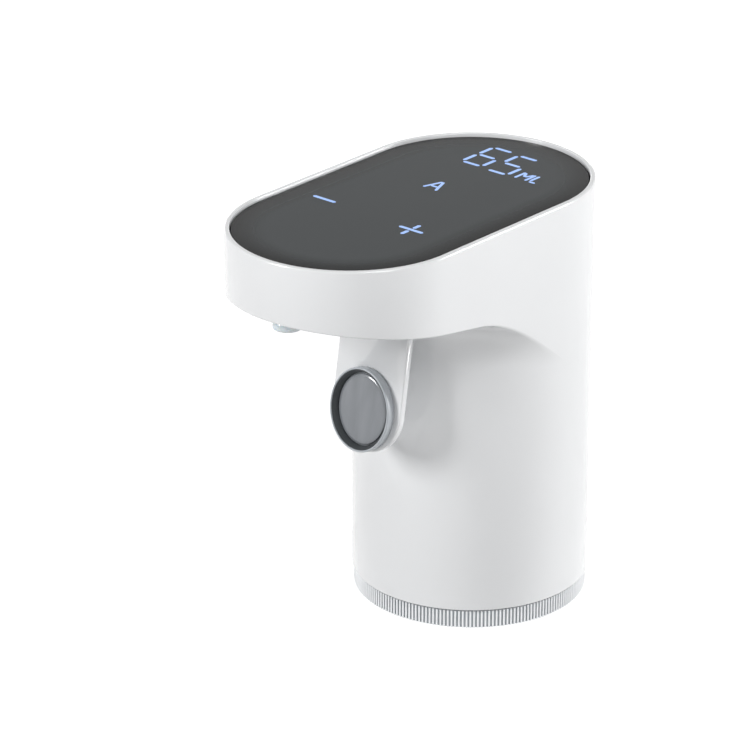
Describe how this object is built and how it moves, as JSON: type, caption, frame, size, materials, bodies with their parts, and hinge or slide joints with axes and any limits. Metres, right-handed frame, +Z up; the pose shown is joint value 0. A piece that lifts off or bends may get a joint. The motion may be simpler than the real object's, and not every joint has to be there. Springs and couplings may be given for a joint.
{
  "type": "electric liquor dispenser",
  "caption": "Bottle-top pouring pump: column with a knurled bayonet base, overhanging head with a touch panel, a nozzle under it and a sprung cup lever",
  "frame": {"origin": "on the base plane under the middle of the head's footprint, halfway between the column's axis and the centre of the head's front arc", "axes": "+Z up along the column, -Y towards the nozzle, X across; the object stands on its knurled ring"},
  "size_m": [0.06, 0.106, 0.11],
  "materials": {
    "gloss_white": "moulded gloss",
    "smoked_panel": "polished",
    "dark_rubber": "matte",
    "clear_silicone": "satin",
    "steel": "machined",
    "circuit_board": "lacquered",
    "inner_plastic": "moulded",
    "frosted": "frosted",
    "cell_wrap": "foil",
    "gear_plastic": "moulded",
    "knurled_metal": "knurled",
    "magnet": "sintered",
    "winding": "wound",
    "wire": "sleeved",
    "ribbon": "laminated",
    "nozzle_white": "polished",
    "pad_grey": "polished",
    "switch_black": "moulded",
    "switch_red": "moulded"
  },
  "bodies": {
    "housing": {"housing_shell": "gloss_white", "touch_panel": "smoked_panel", "panel_gasket": "dark_rubber", "light_guide": "frosted", "display_board": "circuit_board", "digit_module": "frosted", "touch_pad_minus": "dark_rubber", "touch_pad_plus": "dark_rubber", "touch_pad_mode": "dark_rubber", "main_board": "circuit_board", "display_ribbon": "ribbon", "battery_cell": "cell_wrap", "battery_foam": "dark_rubber", "battery_lead": "wire", "charge_board": "circuit_board", "charge_socket": "steel", "chassis": "inner_plastic", "motor_case": "steel", "motor_magnet": "magnet", "motor_end_cap": "inner_plastic", "motor_lead": "wire", "pump_body": "inner_plastic", "pump_gasket": "dark_rubber", "pump_cover": "inner_plastic", "idler_pin": "steel", "shaft_seal": "dark_rubber", "pump_screw_1": "steel", "pump_screw_2": "steel", "pump_screw_3": "steel", "pump_screw_4": "steel", "inlet_hose": "clear_silicone", "outlet_hose": "clear_silicone", "nozzle": "nozzle_white", "nozzle_seal": "dark_rubber", "lever_pin": "steel", "lever_spring": "steel", "micro_switch": "switch_black", "base_plate": "inner_plastic", "bottle_seat": "inner_plastic", "neck_seal": "dark_rubber", "bottle_stopper": "clear_silicone", "stem": "steel", "vent_valve": "clear_silicone", "seat_screw_1": "steel", "seat_screw_2": "steel", "seat_screw_3": "steel", "board_screw_1": "steel", "board_screw_2": "steel"},
    "lever": {"cup_lever": "gloss_white", "lever_pad": "gloss_white", "pad_liner": "dark_rubber", "pad_face": "pad_grey"},
    "plunger": {"switch_plunger": "switch_red"},
    "pump_drive": {"drive_gear": "gear_plastic", "motor_rotor": "winding", "motor_shaft": "steel"},
    "pump_idler": {"idler_gear": "gear_plastic"},
    "base_ring": {"knurled_ring": "knurled_metal"}
  },
  "joints": [
    {"name": "lever_hinge", "type": "hinge", "parent": "housing", "child": "lever", "pos_m": [0, -0.01082, 0.09336], "axis": [1, 0, 0], "range_deg": [0, 7], "stiffness_Nm_per_rad": 0.2, "springref_deg": -14.32},
    {"name": "switch_slide", "type": "slide", "parent": "housing", "child": "plunger", "axis": [0, -1, 0], "range_m": [0, 0.0005]},
    {"name": "pump_spin", "type": "hinge", "parent": "housing", "child": "pump_drive", "pos_m": [-0.005, 0.016, 0.0455], "axis": [0, 0, 1], "continuous": true},
    {"name": "idler_spin", "type": "hinge", "parent": "housing", "child": "pump_idler", "pos_m": [0.005, 0.016, 0.0455], "axis": [0, 0, 1], "continuous": true},
    {"name": "ring_turn", "type": "hinge", "parent": "housing", "child": "base_ring", "pos_m": [0, 0.023, 0], "axis": [0, 0, 1], "range_deg": [0, 30]}
  ],
  "couplings": [
    {"joint": "switch_slide", "follows": "lever_hinge", "m_per_rad": 0.004},
    {"joint": "idler_spin", "follows": "pump_spin", "ratio": -1}
  ]
}
